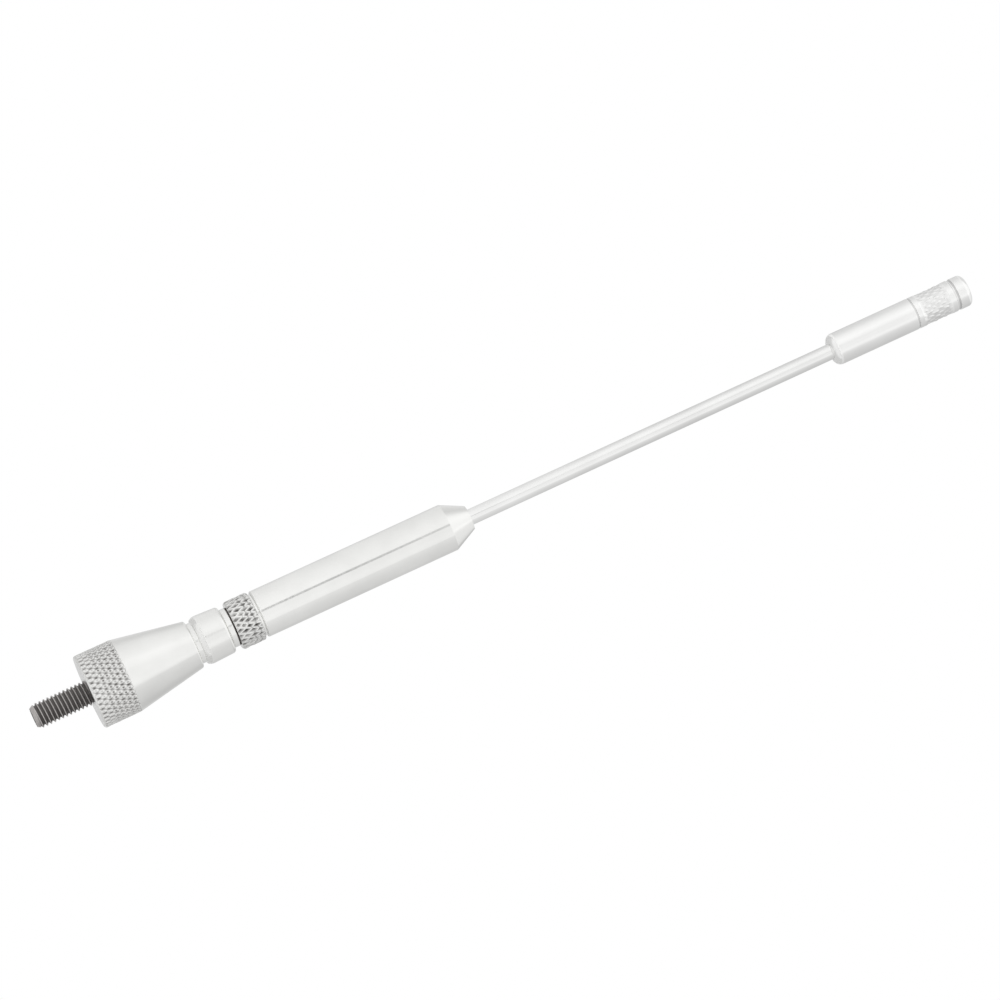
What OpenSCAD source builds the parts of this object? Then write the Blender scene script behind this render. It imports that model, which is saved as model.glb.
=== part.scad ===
// Car mast aerial: a turned aluminium mast in four lengths, held together and to the car by set screws.
// Lengths are in millimetres. The foot seats on the car at z = 0 and the mast stands along +Z.

/* [Mounting stud] */
// Thread diameter of the stud that screws into the car
mount_d = 6; // [5:0.5:8]
// How far the stud stands out of the foot
mount_out = 13.95; // [8:0.05:30]
// How far the stud goes into the foot
mount_in = 10; // [6:0.5:12]
// Length of the pointed bevel at the stud's free end
mount_bevel_l = 1.2; // [0.3:0.1:1.5]
// Diameter of the flat left by that bevel
mount_end_d = 4.6; // [4.2:0.1:4.8]
// Width across flats of the hex key socket
key_af = 3; // [2:0.5:3.5]
// Depth of the hex key socket
key_depth = 3.5; // [1:0.5:6]
// Diameter of the unthreaded waist that starts level with the foot's seating face
waist_d = 5; // [4:0.1:5]
// Length of that waist
waist_l = 1.5; // [0.5:0.1:3]

/* [Foot] */
// Diameter over the crests of the foot's knurl
foot_d = 18.15; // [15:0.05:22]
// Length of the foot's knurl
foot_knurl_l = 8.95; // [4:0.05:14]
// Depth of the foot's knurl
foot_knurl_depth = 0.42; // [0.1:0.01:0.5]
// Length of the plain lip below the knurl
lip_l = 0.35; // [0.35:0.05:2]
// Diameter of the lip
lip_d = 18; // [12:0.05:22]
// Bevel between the lip and the seating face
lip_bevel = 0.3; // [0.1:0.05:0.3]
// Diameter of the cone where it leaves the knurl
cone_low_d = 17.95; // [13:0.05:22]
// Diameter of the cone at its top
cone_high_d = 11.6; // [10.5:0.05:12.9]
// Length of the cone
cone_l = 17.3; // [8:0.1:30]
// Radius round the top corner of the cone
cone_round = 0.55; // [0.1:0.05:0.7]

/* [Bead and neck] */
// Diameter at the bottom of the groove between cone and bead
groove_d = 9.95; // [8.5:0.05:10.2]
// Length of that groove
groove_l = 1.15; // [0.5:0.05:3]
// Diameter of the bead at its lower end
bead_low_d = 12.05; // [11:0.05:13]
// Diameter of the bead at its upper end
bead_high_d = 11.4; // [10.6:0.05:13]
// Length of the bead
bead_l = 7.18; // [4:0.01:14]
// Height of the slow curve that leads in from the bead's lower face
bead_lead_l = 1.5; // [0.6:0.1:2]
// How much that curve takes off the radius at the lower face
bead_lead_depth = 0.55; // [0.1:0.05:0.6]
// Radius round the upper corner of the bead
bead_round = 1; // [0.2:0.05:1.1]
// Diameter of the neck that the mast seats on
neck_d = 9.5; // [9.4:0.1:10.2]
// Length of the neck
neck_l = 1.29; // [0.5:0.01:4]

/* [Joint] */
// Thread diameter of the set screw inside the joint
joint_d = 6; // [4:0.5:6]
// Length of that set screw
joint_l = 18; // [14:0.5:22]
// How much of it screws into the foot's neck
joint_in_base = 8; // [5:0.5:10]
// Bevel at the ends of the set screws that sit inside the metal
screw_bevel = 0.6; // [0.2:0.1:0.8]
// Outer diameter of the washer in the joint
washer_d = 9.3; // [8.6:0.1:9.4]
// Thickness of the washer
washer_t = 0.31; // [0.2:0.01:1]
// Clearance round the set screw inside the washer
washer_play = 0.3; // [0.1:0.05:0.6]

/* [Barrel] */
// Diameter over the crests of the knurled collar
collar_d = 11.95; // [10.8:0.05:14]
// Length of the knurled collar
collar_l = 5.92; // [3:0.01:12]
// Depth of the collar's knurl
collar_knurl_depth = 0.42; // [0.1:0.01:0.5]
// Diameter at the bottom of the groove above the collar
relief_d = 10.3; // [9:0.1:10.6]
// Length of that groove
relief_l = 0.63; // [0.3:0.01:3]
// Diameter of the barrel
barrel_d = 11.45; // [10.8:0.05:14]
// Length of the barrel between the groove and the nose
barrel_l = 48.67; // [30:0.01:90]
// Radius round the lower corner of the barrel
barrel_round = 0.35; // [0.1:0.05:0.5]
// Length of the tapered nose
nose_l = 5.57; // [2:0.01:12]
// Diameter of the flat face at the end of the nose
nose_end_d = 5.95; // [5.5:0.05:8]

/* [Rod] */
// Diameter of the rod
rod_d = 3.8; // [3:0.1:4.6]
// Length of the rod between the nose and the tip
rod_l = 94.83; // [40:0.01:200]
// How far the rod goes into the barrel
rod_in_barrel = 10; // [6:0.5:20]
// How far the rod goes into the tip
rod_in_tip = 8; // [5:0.5:15]

/* [Tip] */
// Diameter of the tip
tip_d = 7.8; // [7:0.1:10]
// Length of the tip
tip_l = 36.4; // [36:0.1:60]
// Radius round the tip's lower shoulder
shoulder_round = 1.75; // [0.5:0.05:1.8]
// Distance from the tip's lower end to its fine groove
fine_groove_z = 21.8; // [18:0.1:22.6]
// Width of the fine groove
fine_groove_w = 0.45; // [0.2:0.05:0.8]
// Depth of the fine groove
fine_groove_depth = 0.25; // [0.1:0.05:0.5]
// Distance from the tip's lower end to its knurled band
tip_knurl_z = 23.9; // [22.7:0.1:25]
// Length of the tip's knurled band
tip_knurl_l = 6.7; // [3:0.1:7.8]
// Depth of the tip's knurl
tip_knurl_depth = 0.12; // [0.05:0.01:0.3]
// Distance from the tip's upper end to its end groove
end_groove_z = 3.2; // [2.4:0.1:4]
// Width of the end groove
end_groove_w = 0.9; // [0.2:0.05:1.2]
// Depth of the end groove
end_groove_depth = 0.15; // [0.1:0.05:0.5]
// Radius round the tip's upper corner
tip_round = 1.25; // [0.2:0.05:1.5]

/* [Knurls] */
// Pitch of the knurling wheels, square to their grooves
knurl_pitch = 1.2; // [0.8:0.1:2]
// Angle of the grooves to the mast
knurl_angle = 30; // [25:1:45]

/* [Fits] */
// Radial play between a set screw and its tapped hole
thread_play = 0.05; // [0.02:0.01:0.15]
// Radial play of the rod in its two sockets, which the adhesive fills
rod_play = 0.02; // [0.01:0.01:0.1]
// Depth left free below a set screw, for the tap's run-out
tap_runout = 1.5; // [0.5:0.5:2]
// Bevel at the mouth of each tapped hole
mouth_bevel = 0.4; // [0.1:0.1:0.6]

/* [Hidden] */
$fn = 96;

// Grid steps between one row of knurl crests and the next, and the flank's share of half a pitch
knurl_steps = 2;
knurl_flank = 0.5;
// Wall of solid metal kept inside the knurls' grooves
knurl_core = 0.5;
// How far a cutting shape runs past the face that it opens
past = 0.5;

// Heights of the shoulders, from the seating face upwards
knurl_z = lip_l;
cone_z = knurl_z + foot_knurl_l;
groove_z = cone_z + cone_l;
bead_z = groove_z + groove_l;
neck_z = bead_z + bead_l;
joint_z = neck_z + neck_l;
collar_z = joint_z + washer_t;
relief_z = collar_z + collar_l;
barrel_z = relief_z + relief_l;
nose_z = barrel_z + barrel_l;
nose_end_z = nose_z + nose_l;
tip_z = nose_end_z + rod_l;
tip_end_z = tip_z + tip_l;

// Points of a round stretch of an outline, from one angle to another
function arc(x, z, r, from, to, steps = 6) =
    [for (i = [0 : steps]) let (a = from + (to - from) * i / steps) [x + r * cos(a), z + r * sin(a)]];

// How far a place is from the nearest lines of each hand, 0 on a line and 1 half way between two of them,
// at p half pitches round and q rows along
function line_offsets(p, q) = [for (s = [p + q, p - q]) abs(s - 2 * round(s / 2))];

// Height of a knurl, 0 at its deepest and 1 on top. A raised one is diamonds between crossed grooves, and a
// sunk one is diamond pits between crossed ridges.
function knurl_height(p, q, sunk) =
    let (off = line_offsets(p, q))
    min(1, (1 - (sunk ? min(off) : max(off))) / knurl_flank);

// Whether the nearest edge of a diamond runs towards falling p as q rises
function leans_back(p, q, sunk) =
    let (off = line_offsets(p, q))
    sunk ? off[0] < off[1] : off[0] > off[1];

// Both triangles of a patch whose corners are a and b below, d and c above
function patch(a, b, c, d, back) = back ? [[a, d, b], [b, d, c]] : [[a, d, c], [a, c, b]];

// A solid round bar with a diamond knurl rolled into it, raised or sunk
module knurled_bar(d, length, depth, sunk = false) {
    count = round(PI * d * cos(knurl_angle) / knurl_pitch);
    rows = max(2, round(length * 2 * sin(knurl_angle) / knurl_pitch));
    cols = 2 * count * knurl_steps;
    inner = (rows - 1) * knurl_steps;
    top = inner + 2;
    low_r = d / 2 - depth;
    rings = [
        for (k = [0 : top])
        let (q = (k - 1) / knurl_steps, end = k == 0 || k == top)
        [
            for (i = [0 : cols - 1])
            let (
                r = end ? low_r : low_r + depth * knurl_height(i / knurl_steps, q, sunk),
                a = 360 * i / cols,
                z = k == 0 ? 0 : k == top ? length : length / rows * (q + 0.5)
            )
            [r * cos(a), r * sin(a), z]
        ]
    ];
    points = [for (ring = rings) each ring];
    sides = [
        for (k = [0 : top - 1], i = [0 : cols - 1])
        let (
            j = (i + 1) % cols,
            p = (i + 0.5) / knurl_steps,
            q = k == 0 ? -0.5 / knurl_steps : k == top - 1 ? rows - 1 + 0.5 / knurl_steps
                : (k - 0.5) / knurl_steps,
            low = k * cols,
            high = low + cols
        )
        each patch(low + i, low + j, high + j, high + i, leans_back(p, q, sunk))
    ];
    floor = [for (i = [0 : cols - 1]) i];
    roof = [for (i = [cols - 1 : -1 : 0]) top * cols + i];
    polyhedron(points = points, faces = concat(sides, [floor, roof]), convexity = 4);
}

// A tapped hole, from its mouth down along -Z, with a bevelled mouth
module tapped_hole(d, depth) {
    r = d / 2 + thread_play;
    translate([0, 0, -depth]) cylinder(r = r, h = depth + past);
    translate([0, 0, -mouth_bevel]) cylinder(r1 = r, r2 = r + mouth_bevel + past, h = mouth_bevel + past);
}

// The black set screw that holds the mast to the car
module mounting_stud() {
    r = mount_d / 2;
    color([0.12, 0.12, 0.12]) difference() {
        rotate_extrude() polygon([
            [0, -mount_out],
            [mount_end_d / 2, -mount_out],
            [r, mount_bevel_l - mount_out],
            [r, 0],
            [waist_d / 2, 0],
            [waist_d / 2, waist_l],
            [r, waist_l],
            [r, mount_in - screw_bevel],
            [r - screw_bevel, mount_in],
            [0, mount_in]
        ]);
        translate([0, 0, -mount_out - past])
            cylinder(r = key_af / sqrt(3), h = key_depth + past, $fn = 6);
    }
}

// The foot: a knurled grip, a long cone, a bead and the neck that the mast screws down onto
module base() {
    slope = atan((cone_low_d - cone_high_d) / 2 / cone_l);
    lean = atan((bead_low_d - bead_high_d) / 2 / bead_l);
    lead_depth = min(bead_lead_depth, 0.475 * (bead_low_d - groove_d));
    lead_round = (pow(bead_lead_l, 2) + pow(lead_depth, 2)) / 2 / lead_depth;
    lead_x = bead_low_d / 2 - tan(lean) * bead_lead_l - lead_round;
    high_round = min(bead_round, 0.475 * (bead_high_d - neck_d));
    inside_r = foot_d / 2 - foot_knurl_depth - knurl_core;
    color([0.84, 0.84, 0.84]) difference() {
        union() {
            rotate_extrude() polygon(concat(
                [[0, 0], [lip_d / 2 - lip_bevel, 0], [lip_d / 2, lip_bevel], [lip_d / 2, knurl_z]],
                [[inside_r, knurl_z], [inside_r, cone_z], [cone_low_d / 2, cone_z]],
                arc(cone_high_d / 2 - cone_round * (1 - sin(slope)) / cos(slope),
                    groove_z - cone_round, cone_round, slope, 90),
                [[groove_d / 2, groove_z], [groove_d / 2, bead_z]],
                arc(lead_x, bead_z + bead_lead_l, lead_round, -asin(bead_lead_l / lead_round), 0),
                arc(bead_high_d / 2 - high_round * (1 - sin(lean)) / cos(lean),
                    neck_z - high_round, high_round, lean, 90),
                [[neck_d / 2, neck_z], [neck_d / 2, joint_z], [0, joint_z]]
            ));
            translate([0, 0, knurl_z]) knurled_bar(foot_d, foot_knurl_l, foot_knurl_depth);
        }
        mirror([0, 0, 1]) tapped_hole(mount_d, mount_in);
        translate([0, 0, joint_z]) tapped_hole(joint_d, joint_in_base + tap_runout);
    }
}

// The set screw inside the joint, which stays in the barrel when the mast is unscrewed
module joining_stud() {
    r = joint_d / 2;
    low_z = joint_z - joint_in_base;
    color([0.35, 0.35, 0.36]) rotate_extrude() polygon([
        [0, low_z],
        [r - screw_bevel, low_z],
        [r, low_z + screw_bevel],
        [r, low_z + joint_l - screw_bevel],
        [r - screw_bevel, low_z + joint_l],
        [0, low_z + joint_l]
    ]);
}

// The thin black washer between the neck and the barrel
module joint_washer() {
    color([0.08, 0.08, 0.08]) translate([0, 0, joint_z]) difference() {
        cylinder(d = washer_d, h = washer_t);
        translate([0, 0, -past]) cylinder(d = joint_d + 2 * washer_play, h = washer_t + 2 * past);
    }
}

// The barrel: a knurled collar to turn it by, a plain tube-like body and a tapered nose
module barrel() {
    inside_r = collar_d / 2 - collar_knurl_depth - knurl_core;
    stud_depth = joint_l - joint_in_base - washer_t;
    color([0.86, 0.86, 0.87]) difference() {
        union() {
            rotate_extrude() polygon(concat(
                [[0, collar_z], [inside_r, collar_z], [inside_r, relief_z], [relief_d / 2, relief_z]],
                [[relief_d / 2, barrel_z]],
                arc(barrel_d / 2 - barrel_round, barrel_z + barrel_round, barrel_round, -90, 0, 4),
                [[barrel_d / 2, nose_z], [nose_end_d / 2, nose_end_z], [0, nose_end_z]]
            ));
            translate([0, 0, collar_z]) knurled_bar(collar_d, collar_l, collar_knurl_depth, sunk = true);
        }
        translate([0, 0, collar_z]) mirror([0, 0, 1]) tapped_hole(joint_d, stud_depth);
        translate([0, 0, nose_end_z - rod_in_barrel])
            cylinder(r = rod_d / 2 + rod_play, h = rod_in_barrel + past);
    }
}

// The plain rod, glued into the barrel below and into the tip above
module rod() {
    color([0.88, 0.88, 0.89]) translate([0, 0, nose_end_z - rod_in_barrel])
        cylinder(d = rod_d, h = rod_in_barrel + rod_l + rod_in_tip);
}

// The tip: a thick plain end with a fine groove, a faint knurled band and a groove near its end
module tip() {
    r = tip_d / 2;
    band_z = tip_z + tip_knurl_z;
    band_end_z = band_z + tip_knurl_l;
    fine_z = tip_z + fine_groove_z;
    end_z = tip_end_z - end_groove_z;
    fine_r = r - fine_groove_depth;
    end_r = r - end_groove_depth;
    inside_r = r - tip_knurl_depth - knurl_core;
    color([0.88, 0.88, 0.88]) difference() {
        union() {
            rotate_extrude() polygon(concat(
                [[0, tip_z]],
                arc(r - shoulder_round, tip_z + shoulder_round, shoulder_round, -90, 0, 8),
                [[r, fine_z], [fine_r, fine_z]],
                [[fine_r, fine_z + fine_groove_w], [r, fine_z + fine_groove_w]],
                [[r, band_z], [inside_r, band_z], [inside_r, band_end_z], [r, band_end_z]],
                [[r, end_z - end_groove_w], [end_r, end_z - end_groove_w]],
                [[end_r, end_z], [r, end_z]],
                arc(r - tip_round, tip_end_z - tip_round, tip_round, 0, 90),
                [[0, tip_end_z]]
            ));
            translate([0, 0, band_z]) knurled_bar(tip_d, tip_knurl_l, tip_knurl_depth);
        }
        translate([0, 0, tip_z - past]) cylinder(r = rod_d / 2 + rod_play, h = rod_in_tip + past);
    }
}

mounting_stud();
base();
joining_stud();
joint_washer();
barrel();
rod();
tip();
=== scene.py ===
import math

import bpy
import numpy as np
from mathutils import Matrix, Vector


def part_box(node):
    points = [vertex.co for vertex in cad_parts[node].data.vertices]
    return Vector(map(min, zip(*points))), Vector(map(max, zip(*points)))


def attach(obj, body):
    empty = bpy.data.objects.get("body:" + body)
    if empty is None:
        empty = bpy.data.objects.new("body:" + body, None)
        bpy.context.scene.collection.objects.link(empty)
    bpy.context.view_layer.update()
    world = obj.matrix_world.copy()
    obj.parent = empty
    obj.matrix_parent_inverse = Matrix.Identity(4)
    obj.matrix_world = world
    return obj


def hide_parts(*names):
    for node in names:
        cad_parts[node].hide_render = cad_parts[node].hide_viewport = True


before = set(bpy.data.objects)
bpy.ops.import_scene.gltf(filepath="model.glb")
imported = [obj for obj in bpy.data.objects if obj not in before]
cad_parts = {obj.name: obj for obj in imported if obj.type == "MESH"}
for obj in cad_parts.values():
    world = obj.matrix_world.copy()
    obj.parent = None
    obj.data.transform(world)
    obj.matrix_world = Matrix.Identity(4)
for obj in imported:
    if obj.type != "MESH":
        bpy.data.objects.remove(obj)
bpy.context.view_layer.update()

mm = 0.001


# Camera: looks along +Y and a little up the mast, rolled so that the mast climbs to the right
camera = {
    "distance": 1106,       # mm from the mast's axis
    "lens": 170.6,          # on a 36 mm sensor
    "aimHeight": 105.65,    # mm above the seat
    "aimSide": -0.74,       # mm
    "lookUp": 8.75,         # degrees that the view climbs towards the tip
    "mastAngle": 24.68,     # degrees that the mast climbs in the picture
}


def makeCamera():
    up = math.radians(camera["lookUp"])
    turn = math.radians(camera["mastAngle"])
    ahead = np.array([0, math.cos(up), math.sin(up)])
    across = np.array([1.0, 0, 0])
    along = np.array([0, -math.sin(up), math.cos(up)])
    pose = np.eye(4)
    pose[:3, 0] = math.sin(turn) * across + math.cos(turn) * along
    pose[:3, 1] = -math.cos(turn) * across + math.sin(turn) * along
    pose[:3, 2] = -ahead
    aim = np.array([camera["aimSide"], 0, camera["aimHeight"]])
    pose[:3, 3] = (aim - ahead * camera["distance"]) * mm
    lens = bpy.data.cameras.new("camera")
    lens.lens = camera["lens"]
    lens.sensor_width = 36
    lens.clip_start = 0.01
    lens.clip_end = 20
    eye = bpy.data.objects.new("camera", lens)
    eye.matrix_world = [list(column) for column in pose.T]
    bpy.context.scene.collection.objects.link(eye)
    bpy.context.scene.camera = eye


makeCamera()
print("camera placed")


# Surfaces of the turned pieces, in mm until turnedPiece makes a mesh of them
nearAxis = 0.05         # radius of the innermost ring of a flat end
sliver = 0.005          # keeps two rings apart where a step is square
withinBevel = 0.02      # how far inside a bevel's edge the flat end beside it starts
noBevel = (0.0, 1.0)


def nodeEnds(node):
    # lowest and highest point of a CAD node along the mast
    low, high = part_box(node)
    return low[2] / mm, high[2] / mm


def roundedOutline(corners, arcSteps=8, guard=0.04, broken=0.04):
    # Corners are (radius, height) or (radius, height, rounding). A rounding is the arc that touches both
    # sides of its corner, made smaller where a side is too short for both of its roundings. A corner
    # without one is broken a little, and 0 leaves a bare point. A guard point on either side of an arc
    # keeps the straight stretches straight when the surface is smooth shaded.
    mostOfSide, smallRound, smallSteps = 0.96, 0.2, 2
    points = np.array([corner[:2] for corner in corners], float)
    rounding = np.array([corner[2] if len(corner) > 2 else broken for corner in corners])
    sides = np.diff(points, axis=0)
    lengths = np.linalg.norm(sides, axis=1)
    ways = sides / lengths[:, None]
    half = np.arccos(np.clip((-ways[:-1] * ways[1:]).sum(1), -1, 1)) / 2
    wanted = np.concatenate([[0], rounding[1:-1] / np.tan(half), [0]])
    room = np.minimum(1, mostOfSide * lengths / np.maximum(wanted[:-1] + wanted[1:], 1e-6))
    reach = wanted * np.minimum(np.append(room, 1), np.insert(room, 0, 1))
    spare = np.minimum(guard, (lengths - reach[:-1] - reach[1:]) / 3)
    path = [points[0]]
    for i in range(1, len(points) - 1):
        if rounding[i] == 0:
            path.append(points[i])
            continue
        back, forth, turn = -ways[i - 1], ways[i], half[i - 1]
        middle = points[i] + (back + forth) / np.linalg.norm(back + forth) * reach[i] / math.cos(turn)
        start, end = points[i] + back * reach[i] - middle, points[i] + forth * reach[i] - middle
        sweep = math.pi - 2 * turn
        steps = arcSteps if rounding[i] > smallRound else smallSteps
        share = np.linspace(0, 1, steps + 1)[:, None]
        arc = np.sin((1 - share) * sweep) * start + np.sin(share * sweep) * end
        path.append(points[i] + back * (reach[i] + spare[i - 1]))
        path.extend(middle + arc / math.sin(sweep))
        path.append(points[i] + forth * (reach[i] + spare[i]))
    path.append(points[-1])
    return np.array(path)


def evenAngles(columns):
    return np.arange(columns) * 2 * math.pi / columns


def plainRings(columns, corners, grooveShade=()):
    # Radius, height and marks of every point, the same at every angle. Each shaded place is a groove with
    # its lower and upper height, its wall, its depth and the painted shade that it has at that depth: the
    # further a point lies below the wall, the darker it is painted.
    outline = roundedOutline(corners)
    radius, height = np.repeat(outline[:, :1], columns, 1), np.repeat(outline[:, 1:], columns, 1)
    shadeAndSoil = np.zeros_like(radius)
    for low, high, wall, depth, most in grooveShade:
        inside = (height > low) & (height < high)
        shadeAndSoil = np.where(inside, most * np.clip((wall - radius) / depth, 0, 1), shadeAndSoil)
    return radius, height, shadeAndSoil


def heldInBevels(radius, height, band):
    # a bevel is (depth, length): the most that the radius can be near either end of the band
    for (depth, length), side in ((band["lowBevel"], height - band["low"]),
                                  (band["highBevel"], band["high"] - height)):
        radius = np.minimum(radius, band["crest"] - depth + side * depth / length)
    return radius


def luckOf(left, right, count):
    # a number from 0 to 1 for each diamond, the far digits of a sine, the same again after a whole turn
    roundStep, alongStep, farDigits = 12.9898, 78.233, 43758.5453
    cell = np.mod(left + right, 2 * count) * roundStep + (left - right) * alongStep
    return np.mod(np.sin(cell) * farDigits, 1)


slipWaves = ((5, 4, 0), (11, -7, 2))  # waves round a band, radians along it and radians at its start
craterLuck = (0.6, 1.2)               # how deep the shallowest and the deepest crater are


def knurlRings(columns, knurl):
    # Two families of helical lines, one of each hand, cross at the knurling wheels' angle. p counts half
    # pitches round and q counts rows along. Each family's phase is p plus or minus q times its lean, and
    # each point's distance from the nearest line of a family runs from 0 to 1, times how deep that wheel
    # went. A raised knurl has its peaks where both distances are 0, rounded between diamond and circle by
    # a power mean. A sunk one has ridges wherever either distance is 0 and pits where both are 1. The
    # wheels slip a little, which slow waves round the band stand for, and don't fill every peak, which
    # leaves round craters. The pits and craters are darkened, partly as cutting residue and partly as
    # painted shade for the light that doesn't reach into them. The soil lies in the pits and craters.
    angle = evenAngles(columns)[None]
    height = np.linspace(knurl["low"], knurl["high"], knurl["rows"] * knurl["ringsPerRow"] + 1)[:, None]
    rowLength = (knurl["high"] - knurl["low"]) / knurl["rows"]
    halfPitch = math.pi * knurl["crest"] / knurl["count"]
    alongBand = (height - knurl["low"]) / (knurl["high"] - knurl["low"])
    p = angle * knurl["count"] / math.pi
    q = (height - knurl["low"]) / rowLength - 0.5
    waves = sum(np.sin(turns * angle + climb * alongBand + start) for turns, climb, start in slipWaves)
    slip = knurl["slip"] * waves / len(slipWaves)
    (leanRight, deepRight), (leanLeft, deepLeft) = knurl["rightHand"], knurl["leftHand"]
    left, right = p + q * leanLeft + slip, p - q * leanRight - slip
    lineLeft, lineRight = np.round(left / 2), np.round(right / 2)
    offLeft, offRight = left - 2 * lineLeft, right - 2 * lineRight
    farLeft, farRight = np.abs(offLeft) * deepLeft, np.abs(offRight) * deepRight
    if knurl["sunk"]:
        away = np.minimum(farLeft, farRight)
    else:
        away = ((farLeft**knurl["corner"] + farRight**knurl["corner"]) / 2) ** (1 / knurl["corner"])
    nearest, furthest = knurl["flank"]
    fall = np.clip((away - nearest) / (furthest - nearest), 0, 1)
    raised = 1 - fall * fall * (3 - 2 * fall)
    luck = luckOf(lineLeft, lineRight, knurl["count"])
    pitLuck = luckOf(np.floor(left / 2), np.floor(right / 2), knurl["count"])
    offRows = (offLeft - offRight) / (leanLeft + leanRight)
    offRound = offLeft - offRows * leanLeft
    across, along = knurl["craterSize"]
    crater = np.exp(-(offRound * halfPitch / across) ** 2 - (offRows * rowLength / along) ** 2)
    begin, full = knurl["craterFrom"]
    grown = np.clip((alongBand - begin) / (full - begin), knurl["craterLeast"], 1)
    shallow, deep = craterLuck
    crater = crater * grown * (shallow + (deep - shallow) * luck)
    shape = raised * (1 - knurl["uneven"] * luck) - knurl["craterDepth"] * crater
    ends = np.clip(np.minimum(alongBand, 1 - alongBand) / knurl["fade"], 0, 1)
    radius = knurl["crest"] - knurl["depth"] * (1 - shape) * (ends if knurl["reliefFades"] else 1)
    height = np.repeat(height, columns, 1)
    # soil and painted shade: the pits and craters are darkened, the deeper the darker
    inPits = (1 - raised) ** knurl["shadeAndSoilEdge"] * (1 - knurl["spread"] * pitLuck)
    shadeAndSoil = np.clip(inPits + knurl["craterShadeAndSoil"] * crater, 0, 1) * ends * knurl["mostShadeAndSoil"]
    return heldInBevels(radius, height, knurl), height, shadeAndSoil


def threadRings(columns, thread):
    # A right-hand metric thread: the phase is the height in pitches less the turn, and the flank is a
    # straight climb between a flat root and a flat crest. The marks are the worn crests and bare point,
    # with painted shade that dims the crests near the foot.
    rootFlat, crestFlat, deep = 1 / 4, 1 / 8, 0.5413  # of the pitch, as the standard has them
    angle = evenAngles(columns)[None]
    rings = int(round((thread["high"] - thread["low"]) / thread["pitch"] * thread["ringsPerPitch"])) + 1
    height = np.linspace(thread["low"], thread["high"], rings)[:, None]
    phase = np.mod(height / thread["pitch"] - angle / (2 * math.pi) + thread["phase"], 1)
    climb = np.clip((np.abs(2 * phase - 1) - rootFlat) / (1 - rootFlat - crestFlat), 0, 1)
    cut = np.clip((height - thread["low"]) / thread["runIn"], 0, 1)
    radius = thread["crest"] - deep * thread["pitch"] * (1 - climb) * cut
    height = np.repeat(height, columns, 1)
    worn = np.clip((climb - thread["wornFrom"]) / (1 - thread["wornFrom"]), 0, 1)
    # painted shade: near the foot the crests' wear colour is dimmed
    worn = worn * (1 - thread["shaded"] * np.clip(1 + height / thread["shadedLength"], 0, 1))
    bare = np.clip((thread["low"] + thread["bare"] - height) / thread["bareFade"], 0, 1)
    return heldInBevels(radius, height, thread), height, np.maximum(worn, thread["bareShine"] * bare)


def socketRings(columns, flats, mouth, floor):
    # A hexagonal hole: the radius to the nearest of six flats, times each ring's share of it. The rings
    # are the drilled cone's point and rim, the wall's top and foot, and the mouth, with their heights.
    turn = np.mod(evenAngles(columns), math.pi / 3) - math.pi / 6
    hexagon = flats / 2 / np.cos(turn)
    rings = [(0.02, floor + 0.6), (0.97, floor + 0.02), (1, floor - 0.04), (1, mouth + 0.06), (1, mouth)]
    share, height = np.array(rings).T[:, :, None]
    return hexagon * share, np.repeat(height, columns, 1), np.zeros((len(rings), columns))


def turnedPiece(name, node, body, material, columns, blocks, loop=False):
    # Joins blocks of rings into one surface round the mast, closed by a lid at either end or looped back
    # to its first ring. The outside lies to the right of the outline.
    radius, height, marks = (np.concatenate([block[i] for block in blocks]) for i in range(3))
    angle = evenAngles(columns)[None]
    points = np.stack([radius * np.cos(angle), radius * np.sin(angle), height], 2) * mm
    rings = len(radius)
    row = np.arange(rings if loop else rings - 1)[:, None]
    column = np.arange(columns)[None]
    nextRow, nextColumn = (row + 1) % rings, (column + 1) % columns
    corners = [row * columns + column, row * columns + nextColumn,
               nextRow * columns + nextColumn, nextRow * columns + column]
    quads = np.stack(corners, 2).reshape(-1, 4)
    loops, starts = quads.ravel(), np.arange(len(quads)) * 4
    points, marks = points.reshape(-1, 3), marks.ravel()
    if not loop:
        ends = points.reshape(rings, columns, 3)[[0, -1]].mean(1)
        first, last = len(points), len(points) + 1
        points, marks = np.concatenate([points, ends]), np.concatenate([marks, [0, 0]])
        around, beside = column[0], nextColumn[0]
        lastRing = (rings - 1) * columns
        lids = np.concatenate([
            np.stack([beside, around, np.full(columns, first)], 1),
            np.stack([lastRing + around, lastRing + beside, np.full(columns, last)], 1)])
        starts = np.concatenate([starts, len(loops) + np.arange(len(lids)) * 3])
        loops = np.concatenate([loops, lids.ravel()])
    mesh = bpy.data.meshes.new(name)
    mesh.vertices.add(len(points))
    mesh.vertices.foreach_set("co", points.ravel().astype(np.float32))
    mesh.loops.add(len(loops))
    mesh.loops.foreach_set("vertex_index", loops.astype(np.int32))
    mesh.polygons.add(len(starts))
    mesh.polygons.foreach_set("loop_start", starts.astype(np.int32))
    mesh.attributes.new("marks", "FLOAT", "POINT").data.foreach_set("value", marks.astype(np.float32))
    mesh.update(calc_edges=True)
    mesh.shade_smooth()
    mesh.materials.append(material)
    piece = bpy.data.objects.new(name, mesh)
    bpy.context.scene.collection.objects.link(piece)
    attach(piece, body)
    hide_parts(node)
    print(name, "made of", len(starts), "faces")
    return piece


# Materials
noiseLow, noiseHigh = 0.3, 0.7  # nearly all of a noise texture lies between these


def toLinear(colour):
    # "#rrggbb" in sRGB to linear light
    value = np.array([int(colour[i:i + 2], 16) for i in (1, 3, 5)]) / 255
    linear = np.where(value <= 0.04045, value / 12.92, ((value + 0.055) / 1.055) ** 2.4)
    return (*linear.tolist(), 1.0)


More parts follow.
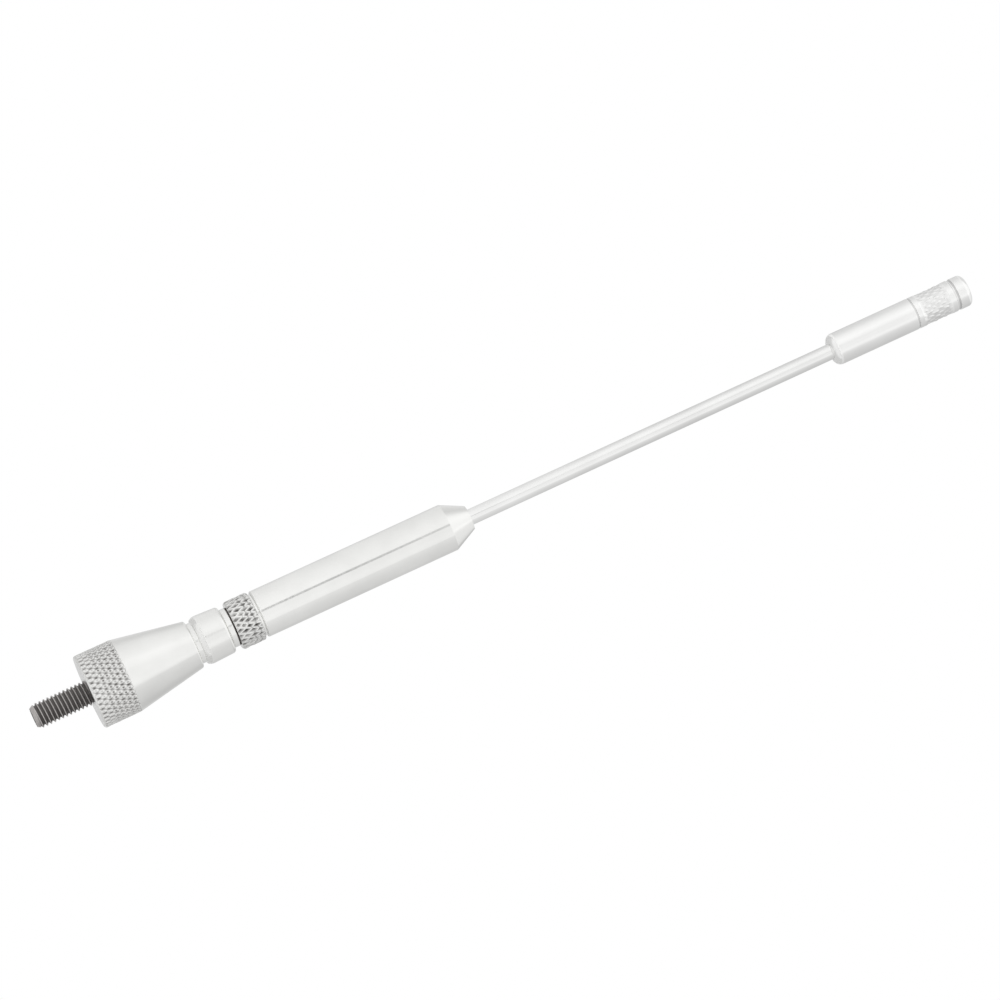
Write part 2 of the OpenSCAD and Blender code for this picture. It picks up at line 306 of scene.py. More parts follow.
def addNode(tree, kind, settings=None, links=None):
    # Adds a node, sets its properties and sockets, and links its inputs. A "#rrggbb" is made linear, and
    # a node that is named as a source stands for its first output.
    node = tree.nodes.new("ShaderNode" + kind)
    for key, value in (settings or {}).items():
        if isinstance(value, str) and value.startswith("#"):
            value = toLinear(value)
        if isinstance(key, str) and hasattr(node, key):
            setattr(node, key, value)
        else:
            node.inputs[key].default_value = value
    for key, source in (links or {}).items():
        output = source.outputs[0] if isinstance(source, bpy.types.Node) else source
        tree.links.new(output, node.inputs[key])
    return node


def newMaterial(name):
    material = bpy.data.materials.new(name)
    material.use_nodes = True
    material.node_tree.nodes.clear()
    return material, material.node_tree


def turnedCoordinates(tree):
    # distance from the mast's axis and height along it: the same all along a cutting tool's path
    place = addNode(tree, "TexCoord").outputs["Object"]
    parts = addNode(tree, "SeparateXYZ", links={0: place})
    flat = addNode(tree, "CombineXYZ", links={0: parts.outputs[0], 1: parts.outputs[1]})
    distance = addNode(tree, "VectorMath", {"operation": "LENGTH"}, {0: flat}).outputs["Value"]
    path = addNode(tree, "CombineXYZ", links={0: distance, 2: parts.outputs[2]})
    return place, path


def turnedAluminium(name, finish):
    # 6061 bar, turned and lightly polished: a bright satin metal with fine rings left by the tool. In the
    # knurls it looks grey where cutting residue stays in the pits, darkened further there as painted shade;
    # in the barrel's and tip's grooves the marks are only painted shade.
    material, tree = newMaterial(name)
    place, path = turnedCoordinates(tree)
    rings = addNode(tree, "TexNoise", {"Scale": 1 / (finish["feed"] * mm), "Detail": 2.0}, {0: path})
    clouds = addNode(tree, "TexNoise", {"Scale": 1 / (finish["clouds"] * mm), "Detail": 3.0}, {0: place})
    cloudLow, cloudHigh = finish["cloudEdges"]
    cloudy = addNode(tree, "MapRange", {1: cloudLow, 2: cloudHigh}, {0: clouds})
    tones = {"data_type": "RGBA", 6: finish["dark"], 7: finish["light"]}
    metal = addNode(tree, "Mix", tones, {0: cloudy}).outputs[2]
    # painted shade and residue: the marks mix the metal towards the shade-and-soil colour
    shadeAndSoil = addNode(tree, "Attribute", {"attribute_name": "marks"}).outputs["Fac"]
    colour = addNode(tree, "Mix", {"data_type": "RGBA", 7: finish["shadeAndSoil"]}, {0: shadeAndSoil, 6: metal}).outputs[2]
    span = {1: noiseLow, 2: noiseHigh, 3: finish["roughLow"], 4: finish["roughHigh"]}
    gloss = addNode(tree, "MapRange", span, {0: rings})
    relief = {"Strength": finish["ringStrength"], "Distance": finish["ringDepth"] * mm}
    bump = addNode(tree, "Bump", relief, {"Height": rings})
    shader = addNode(tree, "BsdfPrincipled", {"Metallic": 1.0},
                     {"Base Color": colour, "Roughness": gloss, "Normal": bump})
    addNode(tree, "OutputMaterial", links={0: shader})
    return material


footFinish = {
    "feed": 0.28,           # mm between tool rings, drawn coarser than the real 0.1 mm so that they show
    "clouds": 9,            # mm across a patch of slightly different tone
    "cloudEdges": (0.35, 0.65),  # of the patches' noise, between which the tone goes from dark to light
    "dark": "#f0f0ee",
    "light": "#f6f6f4",
    # colour of the knurl's pits: cutting residue, darkened further as painted shade
    "shadeAndSoil": "#5e5a58",
    "roughLow": 0.1,
    "roughHigh": 0.15,
    "ringStrength": 0.25,
    "ringDepth": 0.004,     # mm
}
# the collar's pits: residue with painted shade; the groove's upper corner: painted shade
barrelFinish = {**footFinish, "shadeAndSoil": "#383432"}
# the tip's grooves: painted shade; its faint knurl: residue with painted shade
tipFinish = {**footFinish, "dark": "#f7f7f6", "light": "#fbfbfa", "shadeAndSoil": "#a9a8a8",
             "roughLow": 0.07, "roughHigh": 0.12, "ringStrength": 0.15}
rodFinish = {**tipFinish, "dark": "#f3f3f2", "light": "#f8f8f7"}

footAluminium = turnedAluminium("turned_aluminium_foot", footFinish)
barrelAluminium = turnedAluminium("turned_aluminium_barrel", barrelFinish)
drawnAluminium = turnedAluminium("drawn_aluminium", rodFinish)
polishedAluminium = turnedAluminium("polished_aluminium", tipFinish)

blackFinish = {
    "grain": 0.3,           # mm across a grain of the skin
    "grainStrength": 0.2,
    "grainDepth": 0.01,     # mm
    "skin": "#5a5654",
    "bare": "#d2cecc",
    "patches": (0.3, 0.6),  # of the grain's noise, between which the wear grows from its least to full
    "leastWear": 0.7,
    "metallic": 0.1,        # of the skin; bare steel has 1
    "roughLow": 0.34,
    "roughHigh": 0.5,
}
zincFinish = {**blackFinish, "skin": "#b4b5b3", "bare": "#d4d4d1", "metallic": 1.0,
              "roughLow": 0.25, "roughHigh": 0.35}


def screwSteel(name, finish):
    # black-oxide or zinc-plated alloy steel, worn to bare metal along the thread's crests
    material, tree = newMaterial(name)
    place = addNode(tree, "TexCoord").outputs["Object"]
    grain = addNode(tree, "TexNoise", {"Scale": 1 / (finish["grain"] * mm), "Detail": 3.0}, {0: place})
    patchLow, patchHigh = finish["patches"]
    patches = addNode(tree, "MapRange", {1: patchLow, 2: patchHigh, 3: finish["leastWear"]}, {0: grain})
    crests = addNode(tree, "Attribute", {"attribute_name": "marks"}).outputs["Fac"]
    worn = addNode(tree, "Math", {"operation": "MULTIPLY"}, {0: crests, 1: patches})
    tones = {"data_type": "RGBA", 6: finish["skin"], 7: finish["bare"]}
    colour = addNode(tree, "Mix", tones, {0: worn}).outputs[2]
    span = {1: noiseLow, 2: noiseHigh, 3: finish["roughLow"], 4: finish["roughHigh"]}
    rough = addNode(tree, "MapRange", span, {0: grain})
    relief = {"Strength": finish["grainStrength"], "Distance": finish["grainDepth"] * mm}
    bump = addNode(tree, "Bump", relief, {"Height": grain})
    links = {"Base Color": colour, "Roughness": rough, "Normal": bump}
    if finish["metallic"] < 1:
        links["Metallic"] = addNode(tree, "MapRange", {3: finish["metallic"]}, {0: worn})
    shader = addNode(tree, "BsdfPrincipled", {"Metallic": finish["metallic"]}, links)
    addNode(tree, "OutputMaterial", links={0: shader})
    return material


blackOxideSteel = screwSteel("black_oxide_steel", blackFinish)
zincSteel = screwSteel("zinc_plated_steel", zincFinish)

rubberFinish = {
    "grain": 0.25,          # mm
    "grainStrength": 0.3,
    "grainDepth": 0.02,     # mm
    "dark": "#403b39",
    "light": "#544e4b",
    "rough": 0.75,
}


def nitrileRubber(finish):
    # washer, cut from sheet: matt, dark brownish grey
    material, tree = newMaterial("nitrile_rubber")
    place = addNode(tree, "TexCoord").outputs["Object"]
    grain = addNode(tree, "TexNoise", {"Scale": 1 / (finish["grain"] * mm), "Detail": 3.0}, {0: place})
    tones = {"data_type": "RGBA", 6: finish["dark"], 7: finish["light"]}
    colour = addNode(tree, "Mix", tones, {0: grain}).outputs[2]
    relief = {"Strength": finish["grainStrength"], "Distance": finish["grainDepth"] * mm}
    bump = addNode(tree, "Bump", relief, {"Height": grain})
    shader = addNode(tree, "BsdfPrincipled", {"Roughness": finish["rough"]},
                     {"Base Color": colour, "Normal": bump})
    addNode(tree, "OutputMaterial", links={0: shader})
    return material


washerRubber = nitrileRubber(rubberFinish)
print("materials made")


# The foot: knurled grip, cone, bead and neck. In mm, with heights from the seat, which is its low end.
foot = {
    "columns": 492,         # 12 to each of the knurl's grooves
    "lip": 9.0,             # radius
    "lipTop": 0.35,
    "lipBevel": 0.3,
    "knurlTop": 9.3,
    "coneLow": 8.975,       # radius at the knurl
    "coneTop": 26.6,
    "coneHigh": 5.8,        # radius at the groove
    "coneRound": 0.55,
    "groove": 4.975,        # radius
    "grooveRound": 0.15,
    "beadLow": 27.75,
    "beadLowRadius": 6.025,
    "leadLength": 1.5,      # the slow curve that leads in from the bead's lower face
    "leadDepth": 0.55,
    "leadSteps": 12,
    "leadBroken": 0.05,
    "leadOnWall": 0.15,     # how far its last point lies up the wall
    "beadTop": 34.93,
    "beadHighRadius": 5.7,
    "beadRound": 1.0,
    "neck": 4.75,           # radius
    "neckRound": 0.2,
    "rimBroken": 0.05,
    "hole": 3.05,           # radius of both tapped holes, over the screws' crests
    "mouth": 0.4,           # their countersinks
    "lowHole": 10,          # depths
    "highHole": 9.5,
    "knurl": {
        "count": 41,        # grooves of each hand
        "rows": 7,
        "ringsPerRow": 12,
        "crest": 9.075,     # radius
        "depth": 0.36,
        "atEnds": 0.1,      # how far above the grooves' roots the band starts at either end
        "sunk": False,
        "corner": 1.6,      # 1 is a diamond and 2 a circle in the families' phases
        "flank": (0.32, 0.95),       # distances from a line between which the peak falls to the root
        "rightHand": (0.98, 1.03),   # how far the lines lean and how deep that wheel went
        "leftHand": (1.06, 0.97),
        "slip": 0.12,
        "uneven": 0.12,     # how much lower the least lucky peak is
        "craterSize": (0.22, 0.27),  # mm round and along
        "craterDepth": 0.55,         # share of the knurl's depth
        "craterFrom": (0.15, 0.35),  # shares of the band's length between which they begin
        "craterLeast": 0.3,
        "craterShadeAndSoil": 1.0,
        "shadeAndSoilEdge": 1.2,    # more leaves the soil and painted shade only in the pits' middle
        "spread": 0.3,      # how much less soil and painted shade the least lucky pit has
        "mostShadeAndSoil": 1.0,
        "fade": 0.01,       # share of the band's length in which the soil and painted shade fade out at either end
        "reliefFades": False,
        "lowBevel": (0.1, 0.1),
        "highBevel": (0.1, 0.1),
    },
}


def leadCurve():
    # points of the arc that starts inside the bead's lower face and runs out onto its wall
    length, depth = foot["leadLength"], foot["leadDepth"]
    lean = (foot["beadLowRadius"] - foot["beadHighRadius"]) / (foot["beadTop"] - foot["beadLow"])
    radius = (length**2 + depth**2) / 2 / depth
    middle = np.array([foot["beadLowRadius"] - lean * length - radius, foot["beadLow"] + length])
    angle = np.linspace(-math.asin(length / radius), 0, foot["leadSteps"] + 1)
    points = middle + radius * np.stack([np.cos(angle), np.sin(angle)], 1)
    onWall = points[-1] + np.array([-lean, 1]) * foot["leadOnWall"]
    return [(*points[0], foot["leadBroken"])] + [(*point, 0) for point in [*points[1:], onWall]]


def makeFoot():
    low, high = nodeEnds("base")
    knurl = {**foot["knurl"], "low": foot["lipTop"], "high": foot["knurlTop"]}
    root = knurl["crest"] - knurl["depth"] + knurl["atEnds"]
    hole, mouth = foot["hole"], foot["mouth"]
    lowFloor, highFloor = low + foot["lowHole"], high - foot["highHole"]
    below = [(nearAxis, lowFloor), (hole, lowFloor), (hole, low + mouth), (hole + mouth, low),
             (foot["lip"] - foot["lipBevel"], low), (foot["lip"], low + foot["lipBevel"]),
             (foot["lip"], knurl["low"] - sliver), (root, knurl["low"])]
    above = [(root, knurl["high"]), (foot["coneLow"], knurl["high"] + sliver),
             (foot["coneHigh"], foot["coneTop"], foot["coneRound"]),
             (foot["groove"], foot["coneTop"], foot["grooveRound"]),
             (foot["groove"], foot["beadLow"], foot["grooveRound"]),
             *leadCurve(),
             (foot["beadHighRadius"], foot["beadTop"], foot["beadRound"]),
             (foot["neck"], foot["beadTop"], foot["neckRound"]), (foot["neck"], high, foot["rimBroken"]),
             (hole + mouth, high), (hole, high - mouth), (hole, highFloor), (nearAxis, highFloor)]
    columns = foot["columns"]
    blocks = [plainRings(columns, below), knurlRings(columns, knurl), plainRings(columns, above)]
    piece = turnedPiece("foot_turned", "base", "foot", footAluminium, columns, blocks)


makeFoot()


# The barrel: knurled collar, groove, plain length and nose. In mm, from its own ends.
barrel = {
    "columns": 378,         # 14 to each of the collar's grooves
    "collarLength": 5.92,
    "relief": 5.15,         # radius of the groove above the collar
    "reliefLength": 0.63,
    "reliefRound": 0.15,
    "reliefShade": 0.25,     # how much painted shade its upper corner has
    "shadeBelow": 0.05,      # how far below that corner it begins
    "wall": 5.725,          # radius
    "wallRound": 0.35,
    "noseLength": 5.57,
    "noseLowRound": 0.1,
    "noseEnd": 2.975,       # radius
    "noseRound": 0.06,
    "lowHole": 9.72,        # depth
    "rodHole": 1.92,        # radius, also of the tip's
    "rodDepth": 10,
    "knurl": {
        "count": 27,
        "rows": 5,
        "ringsPerRow": 14,
        "crest": 5.975,
        "depth": 0.42,
        "sunk": True,
        "flank": (0.1, 1.0),
        "rightHand": (0.7, 1.0),
        "leftHand": (0.97, 1.05),
        "slip": 0.3,
        "uneven": 0.25,
        "craterSize": (0.22, 0.22),
        "craterDepth": 0.3,
        "craterFrom": (0.3, 0.6),
        "craterLeast": 0.0,
        "craterShadeAndSoil": 0.7,
        "shadeAndSoilEdge": 0.52,
        "spread": 0.45,
        "mostShadeAndSoil": 1.0,
        "fade": 0.01,
        "reliefFades": False,
        "lowBevel": (0.4, 0.5),
        "highBevel": (0.3, 0.4),
    },
}


def makeBarrel():
    low, high = nodeEnds("barrel")
    knurl = {**barrel["knurl"], "low": low, "high": low + barrel["collarLength"]}
    hole, mouth, wall, relief = foot["hole"], foot["mouth"], barrel["wall"], barrel["relief"]
    rodHole, rodFloor, floor = barrel["rodHole"], high - barrel["rodDepth"], low + barrel["lowHole"]
    wallLow = knurl["high"] + barrel["reliefLength"]
    lowEdge = knurl["crest"] - knurl["lowBevel"][0] - withinBevel
    highEdge = knurl["crest"] - knurl["highBevel"][0] - withinBevel
    below = [(nearAxis, floor), (hole, floor), (hole, low + mouth), (hole + mouth, low), (lowEdge, low)]
    above = [(highEdge, knurl["high"]), (relief, knurl["high"] + sliver, barrel["reliefRound"]),
             (relief, wallLow, barrel["reliefRound"]), (wall, wallLow, barrel["wallRound"]),
             (wall, high - barrel["noseLength"], barrel["noseLowRound"]),
             (barrel["noseEnd"], high, barrel["noseRound"]),
             (rodHole, high), (rodHole, rodFloor), (nearAxis, rodFloor)]
    # painted shade in the groove's upper corner, where it meets the wall
    grooveShade = (wallLow - barrel["shadeBelow"], wallLow + barrel["wallRound"], wall, wall - relief,
              barrel["reliefShade"])
    columns = barrel["columns"]
    blocks = [plainRings(columns, below), knurlRings(columns, knurl), plainRings(columns, above, [grooveShade])]
    piece = turnedPiece("barrel_turned", "barrel", "mast", barrelAluminium, columns, blocks)


makeBarrel()


# The rod, whose two ends are hidden in the barrel and the tip. In mm.
rod = {
    "columns": 96,
    "wall": 1.9,            # radius
    "endRound": 0.2,
    "endMiddle": 0.02,      # radius of the innermost ring of either end
}


def makeRod():
    low, high = nodeEnds("rod")
    columns, wall, endRound, middle = rod["columns"], rod["wall"], rod["endRound"], rod["endMiddle"]
    outline = [(middle, low), (wall, low, endRound), (wall, high, endRound), (middle, high)]
    blocks = [plainRings(columns, outline)]
    piece = turnedPiece("rod_drawn", "rod", "mast", drawnAluminium, columns, blocks)


makeRod()


# The tip: rounded shoulder, fine groove, faint knurled band and end groove. In mm, from its low end, but
# the end groove from its top.
tip = {
    "columns": 252,         # 14 to each of the knurl's grooves
    "wall": 3.9,            # radius
    "shoulder": 1.75,
    "fineGroove": 21.8,
    "fineWidth": 0.45,
    "fineDepth": 0.25,
    "fineSlopes": (0.05, 0.01),  # how long its lower and upper walls are
    # painted shade in the fine groove
    "fineShade": 0.4,
    "bandLow": 23.4,
    "bandHigh": 31.1,
    "bandGap": 0.02,        # between the plain wall and the band's first and last ring
    "endGroove": 3.2,
    "endWidth": 0.9,
    "endDepth": 0.15,
    "endSlopes": (0.1, 0.01),
    "endUnshaded": (0.3, 0.35),      # distances from its lower and upper wall at which the painted shade ends or begins
    "endShade": (0.3, 0.6),       # painted shade beside its lower and upper wall
    "shadeBeyond": 0.1,      # how far past a groove its painted shade may lie
    "endRound": 1.25,
    "rodDepth": 8,
    "knurl": {
        "count": 18,
        "rows": 6,
        "ringsPerRow": 12,
        "crest": 3.9,
        "depth": 0.17,
        "sunk": False,
        "corner": 1.6,
        "flank": (0.0, 0.65),
        "rightHand": (1.0, 1.0),
        "leftHand": (1.0, 1.0),
        "slip": 0.3,
        "uneven": 0.4,
        "craterSize": (0.2, 0.2),
        "craterDepth": 0.1,
        "craterFrom": (0.0, 0.1),
        "craterLeast": 0.0,
        "craterShadeAndSoil": 0.2,
        "shadeAndSoilEdge": 0.8,
        "spread": 0.3,
        "mostShadeAndSoil": 0.22,
        "fade": 0.1,
        "reliefFades": True,
        "lowBevel": noBevel,
        "highBevel": noBevel,
    },
}


def makeTip():
    low, high = nodeEnds("tip")
    wall, hole, floor = tip["wall"], barrel["rodHole"], low + tip["rodDepth"]
    knurl = {**tip["knurl"], "low": low + tip["bandLow"], "high": low + tip["bandHigh"]}
    fine, fineWall = low + tip["fineGroove"], wall - tip["fineDepth"]
    end, endWall = high - tip["endGroove"], wall - tip["endDepth"]
    fineHigh, endLow = fine + tip["fineWidth"], end - tip["endWidth"]
    (fineLowSlope, fineHighSlope), (endLowSlope, endHighSlope) = tip["fineSlopes"], tip["endSlopes"]
    (lowUnshaded, highUnshaded), (lowShade, highShade), beyond = tip["endUnshaded"], tip["endShade"], tip["shadeBeyond"]
    below = [(nearAxis, floor), (hole, floor), (hole, low), (wall, low, tip["shoulder"]),
             (wall, fine), (fineWall, fine + fineLowSlope), (fineWall, fineHigh - fineHighSlope),
             (wall, fineHigh), (wall, knurl["low"] - tip["bandGap"])]
    above = [(wall, knurl["high"] + tip["bandGap"]), (wall, endLow), (endWall, endLow + endLowSlope),
             (endWall, endLow + lowUnshaded, 0), (endWall, end - highUnshaded, 0), (endWall, end - endHighSlope),
             (wall, end), (wall, high, tip["endRound"]), (nearAxis, high)]
    # painted shade in the fine and end grooves: darker the deeper below the wall
    fineGrooveShade = (fine - beyond, fineHigh + beyond, wall, tip["fineDepth"], tip["fineShade"])
    endGrooveShade = [(endLow - beyond, endLow + lowUnshaded - sliver, wall, tip["endDepth"], lowShade),
                 (end - highUnshaded - sliver, end + beyond, wall, tip["endDepth"], highShade)]
    columns = tip["columns"]
    blocks = [plainRings(columns, below, [fineGrooveShade]), knurlRings(columns, knurl),
              plainRings(columns, above, endGrooveShade)]
    piece = turnedPiece("tip_turned", "tip", "mast", polishedAluminium, columns, blocks)


makeTip()


# Both set screws, in mm. The mounting stud's thread ends at the seat, and the foot's hole hides the rest.
screw = {
    "columns": 96,
    "crest": 3.0,           # radius
    "pitch": 1.0,
    "phase": 0.68,          # turns, so that the crests fall where the photo has them
    "ringsPerPitch": 16,
    "runIn": 1.0,           # over which the thread starts at its low end
    "wornFrom": 0.8,        # share of a flank's height from which it is worn
    "shaded": 0.25,         # painted shade: how much the crests' wear colour is dimmed near the foot
    "shadedLength": 5,
    "bare": 1.0,            # length of the bare point
    "bareFade": 0.25,
    "bareShine": 0.75,
    "bevel": (0.6, 0.6),    # depth and length
    "pointBevel": (0.7, 1.2),
    "seatBevel": (0.001, 1),     # next to none, where the thread ends at the seat
    "waist": 2.5,           # radius just inside the foot
    "waistLength": 1.5,
    "key": 3.0,             # across flats
    "keyDepth": 3.5,
    "keyMouth": 1.85,       # radius of the flat point's inner edge
}


def makeMountingStud():
    low, high = nodeEnds("mounting_stud")
    columns, crest = screw["columns"], screw["crest"]
    waist, waistHigh, step = screw["waist"], screw["waistLength"], 2 * sliver
    depth, length = screw["bevel"]
    thread = {**screw, "low": low, "high": 0.0, "lowBevel": screw["pointBevel"],
              "highBevel": screw["seatBevel"]}
    socket = socketRings(columns, screw["key"], low, low + screw["keyDepth"])
    pointEdge = crest - screw["pointBevel"][0] - withinBevel
    point = plainRings(columns, [(screw["keyMouth"], low), (pointEdge, low)])
    inside = [(crest - withinBevel, withinBevel), (waist, withinBevel + step), (waist, waistHigh),
              (crest, waistHigh + step), (crest, high - length), (crest - depth, high), (nearAxis, high)]
    blocks = [socket, point, threadRings(columns, thread), plainRings(columns, inside)]
    piece = turnedPiece("mounting_stud_threaded", "mounting_stud", "foot", blackOxideSteel, columns, blocks)


def makeJoiningStud():
    low, high = nodeEnds("joining_stud")
    columns, bevel = screw["columns"], screw["bevel"]
    edge = screw["crest"] - bevel[0] - withinBevel
    thread = {**screw, "low": low, "high": high, "runIn": 0.5, "shaded": 0.0, "bare": 0.0,
              "lowBevel": bevel, "highBevel": bevel}
    below = plainRings(columns, [(nearAxis, low), (edge, low)])
    above = plainRings(columns, [(edge, high), (nearAxis, high)])
    blocks = [below, threadRings(columns, thread), above]
    piece = turnedPiece("joining_stud_threaded", "joining_stud", "mast", zincSteel, columns, blocks)


makeMountingStud()
makeJoiningStud()


# The washer in the joint. In mm.
washer = {
    "columns": 96,
    "inner": 3.3,           # radius
    "outer": 4.65,
    "innerRound": 0.03,
    "outerRound": 0.06,
    "seam": 0.001,          # between its last and its first ring, on the inner wall
}


def makeWasher():
    low, high = nodeEnds("joint_washer")
    columns, inner, outer, middle = washer["columns"], washer["inner"], washer["outer"], (low + high) / 2
    innerRound, outerRound = washer["innerRound"], washer["outerRound"]
    outline = [(inner, middle), (inner, low, innerRound), (outer, low, outerRound),
               (outer, high, outerRound), (inner, high, innerRound), (inner, middle + washer["seam"])]
    blocks = [plainRings(columns, outline)]
    piece = turnedPiece("washer_rubber", "joint_washer", "washer", washerRubber, columns, blocks, loop=True)


makeWasher()
print("pieces made")


# The studio: a white tent, greyer round the mast's lower side, with one narrow seam beside the camera
studio = {
    "floorDrop": 250,       # mm below the seat
    "floorSize": 4,         # metres
    "floorLight": "#fcfcfc",
    "floorShade": "#dedede",
    "floorFade": (-0.16, 0.12),  # metres along Y between which the paper goes from light to shade
    "floorRough": 0.9,
    "ambient": 0.82,        # strength of the soft light
    "oneSided": 1.4,        # how much more of the soft light comes from the left than from the right
    "seamSide": -14.6,      # degrees round the mast from the camera, at the horizon
    "seamLean": 0.9,        # degrees round for each degree up
    "seamWidth": 9.5,
    "seamEdge": 1.5,        # degrees to either side of its edges within which it fades
    "seamDepth": 0.9,
    # where the seam shows, by degrees above the horizon
    "seam": [(4.6, 0), (5.35, 0), (5.55, 1.08), (6.0, 1.0), (6.6, 0.62), (7.8, 0.48), (8.5, 0.1), (9.4, 0),
             (10.5, 0), (10.9, 0.16), (11.8, 0.14), (13.5, 0)],
    # The tent's brightness round the mast, by degrees from the camera. The mast reflects it at twice its own
    # turn. Each ring takes over from the one below between two angles above the horizon.
    "rings": [
        (None, [(-180, 0.66), (-160, 0.72), (-142, 0.78), (-125, 0.84), (-96, 0.87), (-71, 0.91),
                (-50, 0.94), (-30, 0.97), (-13, 1.0), (-6, 0.94), (10, 0.93), (28, 0.96), (46, 0.96),
                (51.5, 0.84), (67, 0.8), (79, 0.76), (95, 0.73), (123, 0.69), (140, 0.64), (180, 0.66)]),
        ((8, 11), [(-180, 0.62), (-130, 0.68), (-108, 0.72), (-87, 0.81), (-69, 0.9), (-53, 0.96),
                   (-38, 1.0), (-23, 0.97), (-9, 0.91), (19, 0.9), (33, 0.95), (42, 0.92), (49, 0.82),
                   (64, 0.72), (81, 0.67), (102, 0.63), (127, 0.59), (140, 0.58), (180, 0.62)]),
        ((13, 18), [(-180, 0.7), (-138, 0.83), (-108, 0.83), (-87, 0.88), (-69, 0.93), (-53, 0.97),
                    (-38, 1.03), (-23, 1.01), (-9, 0.96), (19, 0.96), (33, 0.98), (42, 0.93), (49, 0.79),
                    (64, 0.75), (81, 0.71), (102, 0.67), (127, 0.6), (140, 0.56), (180, 0.62)]),
        ((24, 31), [(-180, 0.9), (-150, 0.8), (-131, 0.75), (-103, 0.71), (-85, 0.81), (-67, 0.98),
                    (-50, 1.05), (-30, 1.06), (0, 1.03), (24, 1.02), (42, 1.08), (58, 0.95), (67, 0.9),
                    (100, 0.87), (117, 0.84), (131, 0.77), (150, 0.76), (180, 0.9)]),
        ((66, 78), [(-180, 0.98), (180, 0.98)]),
    ],
    "keyPower": 2.2,        # watts
    "keySize": 0.8,         # metres
    "keyPlace": (-0.9, -0.5, 0.9),  # metres
}


def brightness(tree, stops, source):
    # follows straight lines between stops (place, brightness)
    low, high = stops[0][0], stops[-1][0]
    share = addNode(tree, "MapRange", {1: low, 2: high}, {0: source})
    node = addNode(tree, "ValToRGB", links={0: share})
    elements = node.color_ramp.elements
    while len(elements) < len(stops):
        elements.new(0.5)
    for element, (at, value) in zip(elements, stops):
        element.position = (at - low) / (high - low)
        element.color = (value, value, value, 1)
    return node


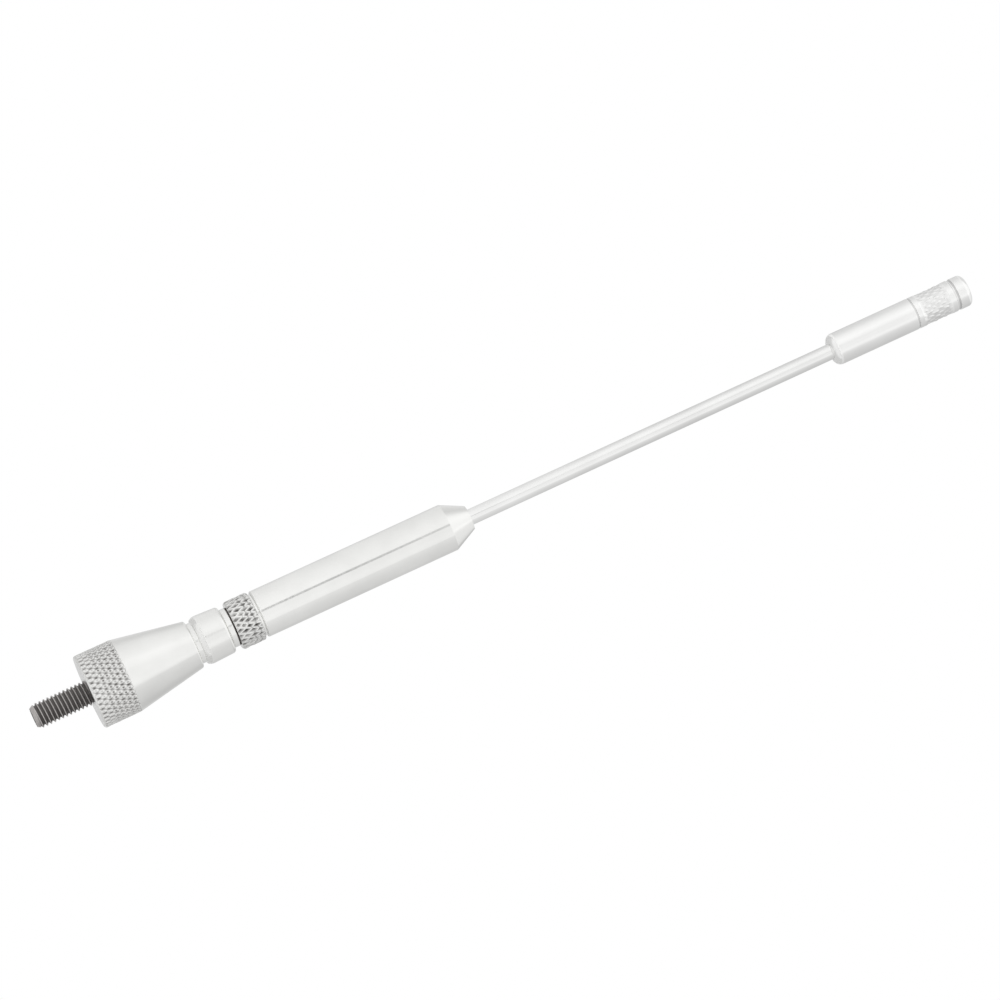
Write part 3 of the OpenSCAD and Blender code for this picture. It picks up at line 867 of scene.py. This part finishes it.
def makeWorld():
    world = bpy.data.worlds.new("studio")
    bpy.context.scene.world = world
    world.use_nodes = True
    tree = world.node_tree
    tree.nodes.clear()

    # how far round from the camera and how far above the horizon a ray points, in degrees
    toward = addNode(tree, "TexCoord").outputs["Generated"]
    parts = addNode(tree, "SeparateXYZ", links={0: toward})
    towardCamera = addNode(tree, "Math", {"operation": "MULTIPLY", 1: -1.0}, {0: parts.outputs[1]})
    bearing = addNode(tree, "Math", {"operation": "ARCTAN2"}, {0: parts.outputs[0], 1: towardCamera})
    turn = addNode(tree, "Math", {"operation": "DEGREES"}, {0: bearing})
    up = addNode(tree, "Math", {"operation": "ARCSINE"}, {0: parts.outputs[2]})
    rise = addNode(tree, "Math", {"operation": "DEGREES"}, {0: up})

    # the seam: dark within half its width of a leaning line, and only where its own stops say
    line = {"operation": "MULTIPLY_ADD", 1: studio["seamLean"], 2: studio["seamSide"]}
    middle = addNode(tree, "Math", line, {0: rise})
    beside = addNode(tree, "Math", {"operation": "SUBTRACT"}, {0: turn, 1: middle})
    off = addNode(tree, "Math", {"operation": "ABSOLUTE"}, {0: beside})
    half, edge = studio["seamWidth"] / 2, studio["seamEdge"]
    fading = {"interpolation_type": "SMOOTHSTEP", 1: half - edge, 2: half + edge,
              3: studio["seamDepth"], 4: 0.0}
    across = addNode(tree, "MapRange", fading, {0: off})
    along = brightness(tree, studio["seam"], rise)
    seam = addNode(tree, "Math", {"operation": "MULTIPLY"}, {0: across, 1: along})

    # the tent as the mast's polished surface mirrors it
    tent = brightness(tree, studio["rings"][0][1], turn)
    for (begin, full), stops in studio["rings"][1:]:
        takesOver = {"interpolation_type": "SMOOTHSTEP", 1: begin, 2: full}
        share = addNode(tree, "MapRange", takesOver, {0: rise})
        ring = brightness(tree, stops, turn)
        tent = addNode(tree, "Mix", {"data_type": "FLOAT"}, {0: share, 2: tent, 3: ring})
    left = addNode(tree, "Math", {"operation": "SUBTRACT", 0: 1.0}, {1: seam})
    shade = addNode(tree, "Math", {"operation": "MULTIPLY"}, {0: tent, 1: left})
    mirrored = addNode(tree, "Background", {1: 1.0}, {0: shade})

    # the soft light that falls on it, strongest from the left
    slope = {"operation": "MULTIPLY_ADD", 1: -studio["oneSided"], 2: 1.0}
    sided = addNode(tree, "Math", slope, {0: parts.outputs[0]})
    positive = addNode(tree, "Math", {"operation": "MAXIMUM", 1: 0.0}, {0: sided})
    soft = addNode(tree, "Math", {"operation": "MULTIPLY", 1: studio["ambient"]}, {0: positive})
    plain = addNode(tree, "Background", {0: (1, 1, 1, 1)}, {1: soft})

    # what the camera sees itself is white
    white = addNode(tree, "Background", {0: (1, 1, 1, 1), 1: 1.0})
    path = addNode(tree, "LightPath")
    light = addNode(tree, "MixShader", links={0: path.outputs["Is Glossy Ray"], 1: plain, 2: mirrored})
    seen = addNode(tree, "Math", {"operation": "MAXIMUM"},
                   {0: path.outputs["Is Camera Ray"], 1: path.outputs["Is Transmission Ray"]})
    whole = addNode(tree, "MixShader", links={0: seen, 1: light, 2: white})
    addNode(tree, "OutputWorld", links={0: whole})


def makeFloor():
    half = studio["floorSize"] / 2
    depth = -studio["floorDrop"] * mm
    corners = [(x * half, y * half, depth) for x, y in ((-1, -1), (1, -1), (1, 1), (-1, 1))]
    mesh = bpy.data.meshes.new("floor")
    mesh.from_pydata(corners, [], [(0, 1, 2, 3)])
    # matt white paper, with painted shade: its colour turns a little greyer behind the mast, where the light
    # falls off
    material, tree = newMaterial("matt_white_paper")
    place = addNode(tree, "TexCoord").outputs["Object"]
    parts = addNode(tree, "SeparateXYZ", links={0: place})
    near, far = studio["floorFade"]
    share = addNode(tree, "MapRange", {1: near, 2: far}, {0: parts.outputs[1]})
    tones = {"data_type": "RGBA", 6: studio["floorLight"], 7: studio["floorShade"]}
    colour = addNode(tree, "Mix", tones, {0: share}).outputs[2]
    shader = addNode(tree, "BsdfPrincipled", {"Roughness": studio["floorRough"]}, {"Base Color": colour})
    addNode(tree, "OutputMaterial", links={0: shader})
    mesh.materials.append(material)
    floor = bpy.data.objects.new("floor", mesh)
    bpy.context.scene.collection.objects.link(floor)


def makeLamp():
    # a softbox that faces the seat
    lamp = bpy.data.lights.new("softbox", "AREA")
    lamp.shape = "SQUARE"
    lamp.size = studio["keySize"]
    lamp.energy = studio["keyPower"]
    holder = bpy.data.objects.new("softbox", lamp)
    place = np.array(studio["keyPlace"])
    back = place / np.linalg.norm(place)
    side = np.cross([0, 0, 1], back)
    side = side / np.linalg.norm(side)
    pose = np.eye(4)
    pose[:3, 0], pose[:3, 1], pose[:3, 2], pose[:3, 3] = side, np.cross(back, side), back, place
    holder.matrix_world = [list(column) for column in pose.T]
    holder.visible_glossy = False
    bpy.context.scene.collection.objects.link(holder)


makeWorld()
makeFloor()
makeLamp()
bpy.context.scene.view_settings.view_transform = "Standard"
print("studio made")
